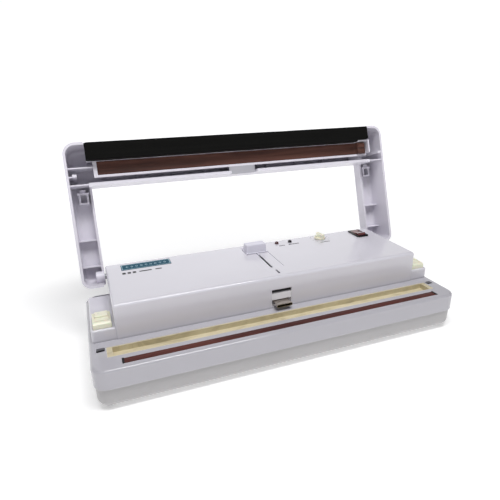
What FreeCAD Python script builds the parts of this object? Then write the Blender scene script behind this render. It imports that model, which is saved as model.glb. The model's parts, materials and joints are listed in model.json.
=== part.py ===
"""Household nozzle vacuum sealer, lid open on its stop.

Design frame, millimetres: X to the user's right, Y to the rear, Z up. X = 0 is the
middle, Z = 0 is the underside of the base tray. The lid is drawn closed, in its own
distances: s forward of the hinge and t above it, then turned open about the hinge.
"""
import FreeCAD, Part
import math
import os

os.makedirs("parts", exist_ok=True)

V = FreeCAD.Vector

# ---------------------------------------------------------------- driving sizes
HALF_W = 195.0
FRONT_Y = -94.6
REAR_Y = 58.0
PARTING_Z = 20.9
DECK_Z = 39.6
PANEL_Z = 75.9
SHELF_Z = 52.3
WALL = 2.5
CORNER_R = 13.0
FOOT_H = 3.0

BOX_HALF_W = 169.7
BOX_FRONT_Y = -48.0
SHELF_HALF_W = 191.4

HINGE_Y = 49.4
HINGE_Z = 63.8
LID_OPEN_DEG = 108.57
LID_TOP_T = 12.1
LID_RIM_T = -23.7
LID_FRONT_S = 144.0
LID_REAR_S = -9.0
LID_WALL = 2.8
ARM_INNER_X = 171.0
ARM_WALL = 2.4
BAR_INNER_S = 98.2
BAR_WALL = 3.0
ARM_RIM_T = -2.6

HINGE_PIN_R = 3.0
RUN_GAP = 0.05
POCKET_R = 27.0

NOZZLE_Z = 45.75
NOZZLE_TIP_Y = -56.0

# moves the design frame to the middle of the open sealer's footprint
ORIGIN_SHIFT = V(0, -5.12, FOOT_H)


# ---------------------------------------------------------------- helpers
def box(x0, x1, y0, y1, z0, z1):
    return Part.makeBox(x1 - x0, y1 - y0, z1 - z0, V(x0, y0, z0))


def cyl(radius, start, axis, length):
    return Part.makeCylinder(radius, length, V(*start), V(*axis))


def ring(outer, inner, start, axis, length):
    return cyl(outer, start, axis, length).cut(cyl(inner, start, axis, length))


def fuse(shapes):
    return shapes[0].multiFuse(shapes[1:]).removeSplitter()


def both_sides(shape):
    return [shape, shape.mirror(V(0, 0, 0), V(1, 0, 0))]


def rounded_wire(x0, x1, y0, y1, z, radii):
    """Closed wire with a radius per corner: front-left, front-right, rear-right, rear-left."""
    corners = [(x0, y0, 1, 1), (x1, y0, -1, 1), (x1, y1, -1, -1), (x0, y1, 1, -1)]
    points = []
    for (x, y, dx, dy), r in zip(corners, radii):
        along_x = V(x + dx * r, y, z)
        along_y = V(x, y + dy * r, z)
        k = r * (1 - math.sqrt(0.5))
        middle = V(x + dx * k, y + dy * k, z)
        first, last = (along_y, along_x) if dx * dy > 0 else (along_x, along_y)
        points.append((first, middle, last))
    edges = []
    for i, (first, middle, last) in enumerate(points):
        edges.append(Part.Arc(first, middle, last).toShape())
        edges.append(Part.makeLine(last, points[(i + 1) % 4][0]))
    return Part.Wire(edges)


def plate(x0, x1, y0, y1, z0, z1, radii):
    if not isinstance(radii, (list, tuple)):
        radii = [radii] * 4
    face = Part.Face(rounded_wire(x0, x1, y0, y1, z0, radii))
    return face.extrude(V(0, 0, z1 - z0))


def round_edges(shape, radius, wanted):
    picked = [e for e in shape.Edges if wanted(e.BoundBox)]
    return shape.makeFillet(radius, picked)


def level(z, tol=0.01):
    return lambda b: abs(b.ZMin - z) < tol and abs(b.ZMax - z) < tol


def lid_box(x0, x1, s0, s1, t0, t1):
    return box(x0, x1, HINGE_Y - s1, HINGE_Y - s0, HINGE_Z + t0, HINGE_Z + t1)


def screw(x, y, z_head, up, shank_r=1.5, head_r=3.1, head_h=2.0, length=12.0):
    """Pan-head screw; the head's bearing face is at z_head and the shank points up or down."""
    d = 1 if up else -1
    head = cyl(head_r, (x, y, z_head), (0, 0, -d), head_h)
    shank = cyl(shank_r, (x, y, z_head - d * 0.5), (0, 0, d), length + 0.5)
    slot = box(x - head_r, x + head_r, y - 0.4, y + 0.4, 0, 0.8)
    slot.translate(V(0, 0, z_head - d * head_h - (0 if up else 0.8)))
    return head.fuse(shank).cut(slot)


NODES = {}


def add(name, shapes, lid=False):
    """Store a node: one shape or a list of separate solids."""
    shapes = shapes if isinstance(shapes, list) else [shapes]
    moved = []
    for shape in shapes:
        shape = shape.copy()
        if lid:
            shape.rotate(V(0, HINGE_Y, HINGE_Z), V(1, 0, 0), -LID_OPEN_DEG)
        shape.translate(ORIGIN_SHIFT)
        moved.extend(shape.Solids)
    NODES[name] = moved[0] if len(moved) == 1 else Part.makeCompound(moved)


# ---------------------------------------------------------------- base tray
TRAY_INSET = 1.5
TRAY_TOP_Z = PARTING_Z - 0.3
POST_XY = [(x, y) for x in (-183, 183) for y in (-84, 46)] + [(-62, -50), (62, -50)]
TRAY_POST_TOP_Z = 9.0
POST_R = 4.2
POST_LENGTH = {-84: 29.0, 46: 27.0, -50: 29.0}
SCREW_SEAT_Z = 6.0
FOOT_XY = [(x, y) for x in (-165, 165) for y in (-72, 36)]
FOOT_R = 8.0
GLAND_X = 150.0
GLAND_Z = 11.0
GLAND_HOLE_R = 5.0
CORD_R = 3.2


def make_base_tray():
    x, y0, y1 = HALF_W - TRAY_INSET, FRONT_Y + TRAY_INSET, REAR_Y - TRAY_INSET
    outer = plate(-x, x, y0, y1, 0, TRAY_TOP_Z, CORNER_R - TRAY_INSET)
    outer = round_edges(outer, 8.0, level(0))
    x, y0, y1 = x - WALL, y0 + WALL, y1 - WALL
    inner = plate(-x, x, y0, y1, WALL, PARTING_Z + 5, CORNER_R - TRAY_INSET - WALL)
    inner = round_edges(inner, 6.0, level(WALL))
    tray = outer.cut(inner)
    # locating lip that stands up inside the upper housing
    lip_x, lip_y0, lip_y1 = HALF_W - WALL - 0.4, FRONT_Y + WALL + 0.4, REAR_Y - WALL - 0.4
    lip = plate(-lip_x, lip_x, lip_y0, lip_y1, TRAY_TOP_Z - 6, PARTING_Z + 2.6, CORNER_R - WALL - 0.4)
    hollow = plate(-lip_x + 1.6, lip_x - 1.6, lip_y0 + 1.6, lip_y1 - 1.6,
                   TRAY_TOP_Z - 7, PARTING_Z + 4, CORNER_R - WALL - 2.0)
    tray = tray.fuse(lip.cut(hollow))
    posts = [cyl(5.5, (px, py, 1), (0, 0, 1), TRAY_POST_TOP_Z - 1) for px, py in POST_XY]
    tray = tray.fuse(posts)
    cuts = [cyl(1.9, (px, py, -1), (0, 0, 1), 20) for px, py in POST_XY]
    cuts += [cyl(3.6, (px, py, -1), (0, 0, 1), SCREW_SEAT_Z + 1) for px, py in POST_XY]
    # foot recesses and air slots under the pump and the transformer
    cuts += [cyl(FOOT_R + 0.2, (px, py, -1), (0, 0, 1), 1.8) for px, py in FOOT_XY]
    for cx in (-130, 70):
        cuts += [box(cx + 8 * i - 1.5, cx + 8 * i + 1.5, -36, -6, -1, WALL + 1) for i in range(-3, 4)]
    cuts.append(cyl(GLAND_HOLE_R, (GLAND_X, REAR_Y - 10, GLAND_Z), (0, 1, 0), 20))
    cuts.append(cyl(7.2, (GLAND_X, REAR_Y - 12, GLAND_Z), (0, 1, 0), 12 - TRAY_INSET - WALL))
    # ribs across the floor
    ribs = [box(-150, 150, ry - 0.9, ry + 0.9, WALL - 0.5, 7) for ry in (-70, 46)]
    return tray.fuse(ribs).cut(cuts).removeSplitter()

add("base_tray", make_base_tray())

feet = []
for fx, fy in FOOT_XY:
    foot = cyl(FOOT_R, (fx, fy, -FOOT_H), (0, 0, 1), FOOT_H + 0.8)
    feet.append(round_edges(foot, 1.0, level(-FOOT_H)))
add("rubber_feet", feet)

add("base_screws", [screw(px, py, SCREW_SEAT_Z, True) for px, py in POST_XY])

gland = fuse([
    cyl(7.5, (GLAND_X, REAR_Y - TRAY_INSET, GLAND_Z), (0, 1, 0), 2.5),
    cyl(GLAND_HOLE_R - 0.05, (GLAND_X, REAR_Y - 4.5, GLAND_Z), (0, 1, 0), 4),
    cyl(6.5, (GLAND_X, REAR_Y - TRAY_INSET - WALL - 2.2, GLAND_Z), (0, 1, 0), 2.2),
])
gland = gland.cut(cyl(CORD_R, (GLAND_X, REAR_Y - 12, GLAND_Z), (0, 1, 0), 20))
add("cord_gland", gland)

# ---------------------------------------------------------------- upper housing
HOUSING_Z = PARTING_Z
TROUGH = (-180.0, 180.0, -73.9, -57.1)
TROUGH_BOTTOM_Z = 32.4
STRIP = (-168.5, 172.7, -88.0, -79.8)
GROOVE_BOTTOM_Z = 34.4
INDEX_SLOT = (-0.4, 1.8, -41.0, -30.8)
SLOT_X = (-1.2, 1.2)
SLOT_Y = (-23.7, 41.0)
HANDLE_RECESS = (-13.5, 13.5, -24.0, 44.0)
RECESS_DEPTH = 0.8
WINDOW = (-11.3, 11.3, 40.9, 61.1)
LED_XY = [(33.8, 41.0), (51.2, 40.0)]
KNOB_XY = (92.5, 38.0)
ROCKER_XY = (146.5, 33.5)
ROCKER_SIZE = (16.4, 23.4)
BADGE = (-153.7, -99.6, 29.2, 43.8)
LATCH_X = (172.0, 189.0)
LATCH_Y = (-44.0, -22.6)
LATCH_STEP_Y = -33.0
LATCH_STEM_Y = (-40.5, -29.0)
LATCH_RECESS_Z = 48.9
LATCH_GAP = 0.35
LATCH_STEM_IN = 2.0
SPRING_FOOT_Z = 40.6
SWITCH_SLOT = (181.2, 188.9, -63.0, -56.4)
BOARD_POSTS = [(31, 18), (108, 18), (31, 49), (108, 49)]
BOARD_TOP_Z = 63.6


def box_profile(inset, rear_r, front_r):
    """Side outline of the raised box, extruded along X."""
    y0, y1 = BOX_FRONT_Y + inset, REAR_Y - inset
    z0, z1 = (HOUSING_Z if inset == 0 else HOUSING_Z - 1), PANEL_Z - inset
    half = BOX_HALF_W - inset
    k = 1 - math.sqrt(0.5)
    p = [V(-half, y0, z0), V(-half, y0, z1 - front_r), V(-half, y0 + front_r * k, z1 - front_r * k),
         V(-half, y0 + front_r, z1), V(-half, y1 - rear_r, z1),
         V(-half, y1 - rear_r * k, z1 - rear_r * k), V(-half, y1, z1 - rear_r), V(-half, y1, z0)]
    wire = Part.Wire([
        Part.makeLine(p[0], p[1]), Part.Arc(p[1], p[2], p[3]).toShape(), Part.makeLine(p[3], p[4]),
        Part.Arc(p[4], p[5], p[6]).toShape(), Part.makeLine(p[6], p[7]), Part.makeLine(p[7], p[0])])
    return Part.Face(wire).extrude(V(2 * half, 0, 0))


def make_upper_housing():
    deck = plate(-HALF_W, HALF_W, FRONT_Y, REAR_Y, HOUSING_Z, DECK_Z, CORNER_R)
    deck = round_edges(deck, 3.0, level(DECK_Z))
    raised = box_profile(0, 10.0, 3.0)
    raised = round_edges(raised, 2.0, lambda b: b.XLength < 0.01 and b.ZMax > HOUSING_Z + 1)
    shelves = []
    for side in both_sides(plate(150, SHELF_HALF_W, -47.0, 30.0, 30, SHELF_Z, 2.5)):
        shelves.append(round_edges(side, 1.5, level(SHELF_Z)))
    outer = deck.fuse([raised] + shelves)

    deck_in = plate(-HALF_W + WALL, HALF_W - WALL, FRONT_Y + WALL, REAR_Y - WALL,
                    HOUSING_Z - 1, DECK_Z - WALL, CORNER_R - WALL)
    box_in = box_profile(WALL, 7.5, 1.0)
    shelf_in = both_sides(box(150, SHELF_HALF_W - WALL, -47.0 + WALL, 28.0, 30, SHELF_Z - WALL))
    inner = deck_in.fuse([box_in] + shelf_in)
    # the skins that stay under the hinge pockets, trough, heater groove and latch wells
    skin = both_sides(cyl(POCKET_R + WALL, (BOX_HALF_W - WALL, HINGE_Y, HINGE_Z), (1, 0, 0), 30))
    skin.append(box(TROUGH[0] - 2, TROUGH[1] + 2, TROUGH[2] - 2, TROUGH[3] + 2, TROUGH_BOTTOM_Z - 2, 40))
    skin.append(box(STRIP[0] - 2, STRIP[1] + 2, STRIP[2] - 2, STRIP[3] + 2, GROOVE_BOTTOM_Z - 2, 40))
    # bosses for the hinge pins, board posts and latch wells
    skin += both_sides(cyl(6.2, (154, HINGE_Y - 1.4, HINGE_Z), (1, 0, 0), 14))
    for px, py in BOARD_POSTS:
        skin.append(cyl(3.0, (px, py, BOARD_TOP_Z), (0, 0, 1), 12))
    skin += both_sides(box(BOX_HALF_W - WALL, SHELF_HALF_W, LATCH_Y[0] - 2, LATCH_Y[1] + 2,
                           SPRING_FOOT_Z - 2, LATCH_RECESS_Z + 2))
    solid = outer.cut(inner)
    envelope = deck_in.fuse([box_in] + shelf_in)
    solid = solid.fuse([s.common(envelope.fuse(outer)) for s in skin])
    solid = solid.fuse([cyl(POST_R, (px, py, TRAY_POST_TOP_Z), (0, 0, 1), POST_LENGTH[py])
                        for px, py in POST_XY])

    cuts = both_sides(cyl(POCKET_R, (BOX_HALF_W, HINGE_Y, HINGE_Z), (1, 0, 0), 40))
    cuts += both_sides(cyl(HINGE_PIN_R, (158, HINGE_Y, HINGE_Z), (1, 0, 0), 20))
    for px, py in POST_XY:
        cuts.append(cyl(1.5, (px, py, TRAY_POST_TOP_Z - 1), (0, 0, 1), 14))
    for px, py in BOARD_POSTS:
        cuts.append(cyl(1.0, (px, py, BOARD_TOP_Z - 1), (0, 0, 1), 8))
    cuts.append(box(*TROUGH, TROUGH_BOTTOM_Z, 45))
    cuts.append(box(*STRIP, GROOVE_BOTTOM_Z, 45))
    cuts.append(box(WINDOW[0], WINDOW[1], BOX_FRONT_Y - 5, BOX_FRONT_Y + 6, WINDOW[2], WINDOW[3]))
    cuts.append(plate(*HANDLE_RECESS, PANEL_Z - RECESS_DEPTH, PANEL_Z + 1, 1.0))
    cuts.append(box(*SLOT_X, *SLOT_Y, PANEL_Z - 5, PANEL_Z + 1))
    cuts.append(box(*INDEX_SLOT, PANEL_Z - 5, PANEL_Z + 1))
    cuts += [cyl(2.6, (x, y, PANEL_Z - 5), (0, 0, 1), 8) for x, y in LED_XY]
    cuts.append(cyl(4.2, (*KNOB_XY, PANEL_Z - 5), (0, 0, 1), 8))
    cuts.append(cyl(9.0, (*KNOB_XY, PANEL_Z - 0.6), (0, 0, 1), 3))
    w, d = ROCKER_SIZE[0] / 2 - 1.2, ROCKER_SIZE[1] / 2 - 1.2
    cuts.append(box(ROCKER_XY[0] - w, ROCKER_XY[0] + w, ROCKER_XY[1] - d, ROCKER_XY[1] + d,
                    PANEL_Z - 5, PANEL_Z + 1))
    cuts.append(box(*BADGE, PANEL_Z - 0.5, PANEL_Z + 1))
    for x0, x1 in (LATCH_X, (-LATCH_X[1], -LATCH_X[0])):
        cuts.append(box(x0 - LATCH_GAP, x1 + LATCH_GAP, LATCH_Y[0] - LATCH_GAP, LATCH_Y[1] + LATCH_GAP,
                        LATCH_RECESS_Z, SHELF_Z + 1))
        cuts.append(box(x0 + LATCH_STEM_IN - 0.3, x1 - LATCH_STEM_IN + 0.3,
                        LATCH_STEM_Y[0] - 0.3, LATCH_STEM_Y[1] + 0.3, SPRING_FOOT_Z, SHELF_Z + 1))
    for x0, x1 in (SWITCH_SLOT[:2], (-SWITCH_SLOT[1], -SWITCH_SLOT[0])):
        cuts.append(box(x0, x1, SWITCH_SLOT[2], SWITCH_SLOT[3], 30, 45))
    return solid.cut(cuts).removeSplitter()


housing = make_upper_housing()
add("upper_housing", housing)

hinge_pins = both_sides(cyl(HINGE_PIN_R, (158.5, HINGE_Y, HINGE_Z), (1, 0, 0), 20.5))
add("hinge_pins", hinge_pins)

# ---------------------------------------------------------------- trough and heater
trough_x0, trough_x1, trough_y0, trough_y1 = TROUGH
TROUGH_SKIN = 1.2
liner = box(*TROUGH, TROUGH_BOTTOM_Z, DECK_Z - 0.4)
liner = liner.cut(box(trough_x0 + 5, trough_x1 - 5, trough_y0 + TROUGH_SKIN, trough_y1 - TROUGH_SKIN,
                      TROUGH_BOTTOM_Z + TROUGH_SKIN, 45))
add("trough_liner", liner)

sx0, sx1, sy0, sy1 = STRIP
HEATER_TOP_Z = DECK_Z + 0.3
add("heater_bar", box(sx0, sx1, sy0, sy1, GROOVE_BOTTOM_Z, DECK_Z - 0.8))
add("heater_element", box(sx0 + 3, sx1 - 3, sy0 + 2.6, sy1 - 2.6, DECK_Z - 0.8, DECK_Z - 0.5))
cover = box(sx0 + 2, sx1 - 2, sy0, sy1, DECK_Z - 0.8, HEATER_TOP_Z)
cover = cover.cut(box(sx0 + 3, sx1 - 3, sy0 + 2.6, sy1 - 2.6, DECK_Z - 0.8, DECK_Z - 0.5))
add("heater_cover", cover)
clamps = [box(sx0, sx0 + 2, sy0, sy1, DECK_Z - 0.8, HEATER_TOP_Z + 0.2),
          box(sx1 - 2, sx1, sy0, sy1, DECK_Z - 0.8, HEATER_TOP_Z + 0.2)]
add("heater_end_clamps", clamps)

# ---------------------------------------------------------------- nozzle slide
RAIL_X = 15.0
RAIL_Z = 56.0
RAIL_R = 1.5
GUIDE_Y = (BOX_FRONT_Y + WALL, -39.0)
BRACKET_Y = (42.4, 47.9)
NOZZLE_HALF = (9.0, 1.75)
TAIL_R = 2.5

guide = fuse([
    box(-20, 20, *GUIDE_Y, 38, 64),
    box(WINDOW[0] + 0.1, WINDOW[1] - 0.1, BOX_FRONT_Y + 0.4, GUIDE_Y[0], 49.3, 57.0),
])
guide = guide.cut([
    box(-NOZZLE_HALF[0] - 0.6, NOZZLE_HALF[0] + 0.6, GUIDE_Y[0] - 1, GUIDE_Y[1] + 1,
        NOZZLE_Z - NOZZLE_HALF[1] - 0.6, NOZZLE_Z + NOZZLE_HALF[1] + 0.6),
    box(-10.5, 10.5, GUIDE_Y[0] - 1, GUIDE_Y[1] + 1, 57.3, 60.9),
] + [cyl(RAIL_R, (x, GUIDE_Y[1] - 4, RAIL_Z), (0, 1, 0), 8) for x in (-RAIL_X, RAIL_X)])
add("nozzle_guide", guide)

add("slide_rails", [cyl(RAIL_R, (x, GUIDE_Y[1] - 4, RAIL_Z), (0, 1, 0), BRACKET_Y[1] - GUIDE_Y[1] + 4)
                    for x in (-RAIL_X, RAIL_X)])

bracket = box(-20, 20, *BRACKET_Y, 38, PANEL_Z - WALL)
bracket = bracket.cut([cyl(RAIL_R, (x, 40, RAIL_Z), (0, 1, 0), 12) for x in (-RAIL_X, RAIL_X)]
                      + [cyl(4.0, (0, 40, NOZZLE_Z), (0, 1, 0), 12)])
add("rail_bracket", bracket)

nozzle = plate(-NOZZLE_HALF[0], NOZZLE_HALF[0], -NOZZLE_HALF[1], NOZZLE_HALF[1], 0, -NOZZLE_TIP_Y, 1.6)
nozzle.rotate(V(0, 0, 0), V(1, 0, 0), 90)
nozzle.translate(V(0, 0, NOZZLE_Z))
passage = plate(-NOZZLE_HALF[0] + 0.5, NOZZLE_HALF[0] - 0.5, -NOZZLE_HALF[1] + 0.5,
                NOZZLE_HALF[1] - 0.5, 0, -NOZZLE_TIP_Y, 1.1)
passage.rotate(V(0, 0, 0), V(1, 0, 0), 90)
passage.translate(V(0, -2, NOZZLE_Z))
nozzle = nozzle.fuse(cyl(TAIL_R, (0, -1, NOZZLE_Z), (0, 1, 0), 51.5))
nozzle = nozzle.cut([passage, cyl(1.2, (0, -4, NOZZLE_Z), (0, 1, 0), 60)])
add("nozzle", nozzle.removeSplitter())

CARRIAGE_Y = (0.2, 40.0)
carriage = fuse([box(-19, 19, *CARRIAGE_Y, 50.4, 60), box(-12, 12, 0.2, 8, 41, 50.5)])
carriage = carriage.cut([cyl(TAIL_R, (0, -1, NOZZLE_Z), (0, 1, 0), 12),
                         box(-0.8, 0.8, 15, 40, 58.5, 62)]
                        + [cyl(RAIL_R + RUN_GAP, (x, -1, RAIL_Z), (0, 1, 0), 50)
                           for x in (-RAIL_X, RAIL_X)])
add("nozzle_carriage", carriage)

HANDLE_BASE_Z = PANEL_Z - RECESS_DEPTH + 0.3
HANDLE_TOP_Z = PANEL_Z + 10.0
HANDLE_HALF_W = 12.2
HANDLE_FOOT_Y = (22.4, 36.0)
HANDLE_TOP_Y = (23.6, 34.4)
HANDLE_FLANGE = (-13.2, 13.2, 21.4, 38.6)
profile = [V(-HANDLE_HALF_W, HANDLE_FOOT_Y[0], HANDLE_BASE_Z),
           V(-HANDLE_HALF_W, HANDLE_TOP_Y[0], HANDLE_TOP_Z),
           V(-HANDLE_HALF_W, HANDLE_TOP_Y[1], HANDLE_TOP_Z),
           V(-HANDLE_HALF_W, HANDLE_FOOT_Y[1], HANDLE_BASE_Z)]
handle = Part.Face(Part.makePolygon(profile + [profile[0]])).extrude(V(2 * HANDLE_HALF_W, 0, 0))
handle = round_edges(handle, 1.3, lambda b: b.ZMax > HANDLE_BASE_Z + 1)
flange = plate(*HANDLE_FLANGE, HANDLE_BASE_Z, HANDLE_BASE_Z + 1.3, 1.0)
flange = round_edges(flange, 0.4, level(HANDLE_BASE_Z + 1.3))
handle = fuse([handle, flange, box(-0.8, 0.8, 15, 40, 58.5, HANDLE_BASE_Z + 1)])
add("slider_handle", handle)

SLEEVE_Y = (9.0, 53.6)
BARB_R = 2.0
BARB_Y = 51.9
sleeve = ring(4.0, TAIL_R + 0.08, (0, SLEEVE_Y[0], NOZZLE_Z), (0, 1, 0), SLEEVE_Y[1] - SLEEVE_Y[0])
sleeve = sleeve.fuse(cyl(4.0, (0, SLEEVE_Y[1] - 1, NOZZLE_Z), (0, 1, 0), 1))
sleeve = sleeve.fuse(cyl(BARB_R, (-3, BARB_Y, NOZZLE_Z), (-1, 0, 0), 9))
sleeve = sleeve.cut(cyl(BARB_R - 0.9, (0, BARB_Y, NOZZLE_Z), (-1, 0, 0), 20))
add("nozzle_sleeve", sleeve.removeSplitter())

# ---------------------------------------------------------------- vacuum pump
PUMP_Y = 20.0
PUMP_Z = 30.0
MOTOR_R = 12.5
motor = cyl(MOTOR_R, (-152, PUMP_Y, PUMP_Z), (1, 0, 0), 34)
motor = motor.cut([box(-153, -117, PUMP_Y - 20, PUMP_Y - 10.5, PUMP_Z - 15, PUMP_Z + 15),
                   box(-153, -117, PUMP_Y + 10.5, PUMP_Y + 20, PUMP_Z - 15, PUMP_Z + 15),
                   cyl(1.5 + RUN_GAP, (-150, PUMP_Y, PUMP_Z), (1, 0, 0), 40)])
add("pump_motor", motor)

shaft = cyl(1.5, (-149.5, PUMP_Y, PUMP_Z), (1, 0, 0), 40)
shaft = shaft.fuse(cyl(5.0, (-114, PUMP_Y, PUMP_Z + 1.5), (1, 0, 0), 5))
add("pump_shaft", shaft.removeSplitter())

pump_case = box(-118, -98, PUMP_Y - 15, PUMP_Y + 15, PUMP_Z - 15, PUMP_Z + 17)
pump_case = round_edges(pump_case, 2.5, lambda b: b.YLength < 0.01 and b.ZLength < 0.01)
pump_case = pump_case.cut([cyl(9.0, (-115.5, PUMP_Y, PUMP_Z), (1, 0, 0), 15),
                           cyl(2.5, (-119, PUMP_Y, PUMP_Z), (1, 0, 0), 10)])
add("pump_case", pump_case)

HEAD_Z = PUMP_Z + 17
head = cyl(11.0, (-108, PUMP_Y, HEAD_Z), (0, 0, 1), 9)
head = round_edges(head, 1.0, level(HEAD_Z + 9))
head = head.fuse(cyl(BARB_R, (-98, PUMP_Y, HEAD_Z + 4.5), (1, 0, 0), 8))
head = head.cut(cyl(BARB_R - 0.9, (-104, PUMP_Y, HEAD_Z + 4.5), (1, 0, 0), 20))
head_screws = [screw(-108 + 5.6 * dx, PUMP_Y + 5.6 * dy, HEAD_Z + 9, False, 0.9, 1.8, 1.0, 6.0)
               for dx in (-1, 1) for dy in (-1, 1)]
add("pump_head", head.cut(head_screws).removeSplitter())
add("pump_head_screws", head_screws)

HOSE_WALL = 1.4
hose_z = HEAD_Z + 4.5
bend = Part.BezierCurve()
bend.setPoles([V(-22, BARB_Y, NOZZLE_Z), V(-54, BARB_Y, NOZZLE_Z),
               V(-54, PUMP_Y, hose_z), V(-86, PUMP_Y, hose_z)])
spine = Part.Wire([Part.makeLine(V(-4.5, BARB_Y, NOZZLE_Z), V(-22, BARB_Y, NOZZLE_Z)), bend.toShape(),
                   Part.makeLine(V(-86, PUMP_Y, hose_z), V(-96.6, PUMP_Y, hose_z))])


def hose_body(radius):
    circle = Part.Wire(Part.makeCircle(radius, V(-4.5, BARB_Y, NOZZLE_Z), V(-1, 0, 0)))
    return spine.makePipeShell([circle], True, False)


add("vacuum_hose", hose_body(BARB_R + HOSE_WALL).cut(hose_body(BARB_R)))

# steel cradle and rubber blocks that hold the pump above the tray floor
CRADLE_Z = 11.8
STEEL = 1.2
cradle = box(-150, -100, PUMP_Y - 17.5, PUMP_Y + 17.5, CRADLE_Z, CRADLE_Z + STEEL)
cradle = cradle.fuse([box(-150, -120, PUMP_Y - 10.5 - STEEL, PUMP_Y - 10.5, CRADLE_Z, 36),
                      box(-150, -120, PUMP_Y + 10.5, PUMP_Y + 10.5 + STEEL, CRADLE_Z, 36)])
add("pump_cradle", cradle.removeSplitter())
add("pump_mounts", [cyl(5.0, (x, y, WALL), (0, 0, 1), CRADLE_Z - WALL)
                    for x in (-143, -107) for y in (PUMP_Y - 11, PUMP_Y + 11)])

# ---------------------------------------------------------------- transformer
CORE_X = (41.0, 97.0)
CORE_Y = (-26.0, -2.0)
CORE_TOP_Z = 49.5
STRAP_SCREW_X = (34.5, 103.5)
core = box(*CORE_X, *CORE_Y, WALL, CORE_TOP_Z)
core = core.cut([box(51, 60, -27, -1, 11, 41), box(78, 87, -27, -1, 11, 41)])
add("transformer_core", core)
winding = plate(51.3, 86.7, -36, 8, 11.3, 40.7, 3.0).cut(box(60, 78, -26, -2, 10, 42))
add("transformer_winding", winding)
strap = box(CORE_X[0] - STEEL, CORE_X[1] + STEEL, -24, -4, WALL, CORE_TOP_Z + STEEL)
strap = strap.cut(box(*CORE_X, -30, 2, 0, CORE_TOP_Z))
strap = strap.fuse([box(30, CORE_X[0] - STEEL, -24, -4, WALL, WALL + STEEL),
                    box(CORE_X[1] + STEEL, 108, -24, -4, WALL, WALL + STEEL)])
strap = strap.cut([cyl(1.7, (x, -14, 0), (0, 0, 1), 10) for x in STRAP_SCREW_X])
add("transformer_strap", strap.removeSplitter())
add("transformer_screws", [screw(x, -14, WALL + STEEL, False, 1.5, 3.0, 1.8, 0.6) for x in STRAP_SCREW_X])

# ---------------------------------------------------------------- control board
BOARD_T = 1.6
board_under = BOARD_TOP_Z - BOARD_T
board = box(27, 112, 14, 53, board_under, BOARD_TOP_Z)
board = board.cut([cyl(1.3, (x, y, board_under - 1), (0, 0, 1), 6) for x, y in BOARD_POSTS])
add("control_board", board)
add("board_screws", [screw(x, y, board_under, True, 1.0, 2.3, 1.4, 8.0) for x, y in BOARD_POSTS])
relay = box(60, 74, 18, 33, board_under - 14, board_under)
chip = box(42, 52, 22, 29, board_under - 3, board_under)
capacitors = [cyl(4.0, (x, 44, board_under - 11), (0, 0, 1), 11) for x in (62, 73)]
terminal = box(84, 102, 40, 49, board_under - 9, board_under)
add("board_parts", [relay, chip, terminal] + capacitors)

LENS_R = 2.5
LENS_FOOT_Z = BOARD_TOP_Z + 7.6
lenses, holders = [], []
for x, y in LED_XY:
    lens = cyl(LENS_R, (x, y, LENS_FOOT_Z), (0, 0, 1), PANEL_Z + 0.4 - LENS_FOOT_Z)
    dome = Part.makeSphere(LENS_R, V(x, y, PANEL_Z + 0.4), V(0, 0, 1), 0, 90)
    lenses.append(lens.fuse(dome).removeSplitter())
    holders.append(ring(3.0, 0.9, (x, y, BOARD_TOP_Z), (0, 0, 1), LENS_FOOT_Z - BOARD_TOP_Z))
add("vacuum_lamp", lenses[0])
add("seal_lamp", lenses[1])
add("lamp_holders", holders)

kx, ky = KNOB_XY
SPINDLE_R = 3.0
SPINDLE_TOP_Z = PANEL_Z + 4.0
pot = cyl(8.0, (kx, ky, BOARD_TOP_Z), (0, 0, 1), 6.5)
pot = pot.fuse(cyl(4.0, (kx, ky, BOARD_TOP_Z + 6), (0, 0, 1), 5.5))
pot = pot.cut(cyl(SPINDLE_R + RUN_GAP, (kx, ky, BOARD_TOP_Z + 1.5), (0, 0, 1), 20))
add("timer_pot", pot.removeSplitter())
spindle_foot = BOARD_TOP_Z + 1.8
add("timer_spindle", cyl(SPINDLE_R, (kx, ky, spindle_foot), (0, 0, 1), SPINDLE_TOP_Z - spindle_foot))

KNOB_R = 7.0
GRIP_TOP_Z = PANEL_Z + 6.4
knob = cyl(KNOB_R, (kx, ky, PANEL_Z - 0.2), (0, 0, 1), 2.3)
knob = round_edges(knob, 0.6, level(PANEL_Z + 2.1))
grip = plate(kx - 2.6, kx + 2.6, ky - 6.8, ky + 6.8, PANEL_Z + 2.0, GRIP_TOP_Z, 2.0)
grip = round_edges(grip, 0.8, level(GRIP_TOP_Z))
cross = plate(kx - 6.4, kx + 6.4, ky - 1.7, ky + 1.7, PANEL_Z + 2.0, PANEL_Z + 4.6, 1.5)
cross = round_edges(cross, 0.6, level(PANEL_Z + 4.6))
pointer = box(kx - 0.4, kx + 0.4, ky - 6.0, ky, GRIP_TOP_Z - 0.3, GRIP_TOP_Z + 1)
knob = knob.fuse([grip, cross, cyl(4.5, (kx, ky, PANEL_Z), (0, 0, 1), 5.2)])
knob = knob.cut([cyl(SPINDLE_R, (kx, ky, PANEL_Z - 2), (0, 0, 1), SPINDLE_TOP_Z - PANEL_Z + 2), pointer])
add("timer_knob", knob.removeSplitter())

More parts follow.
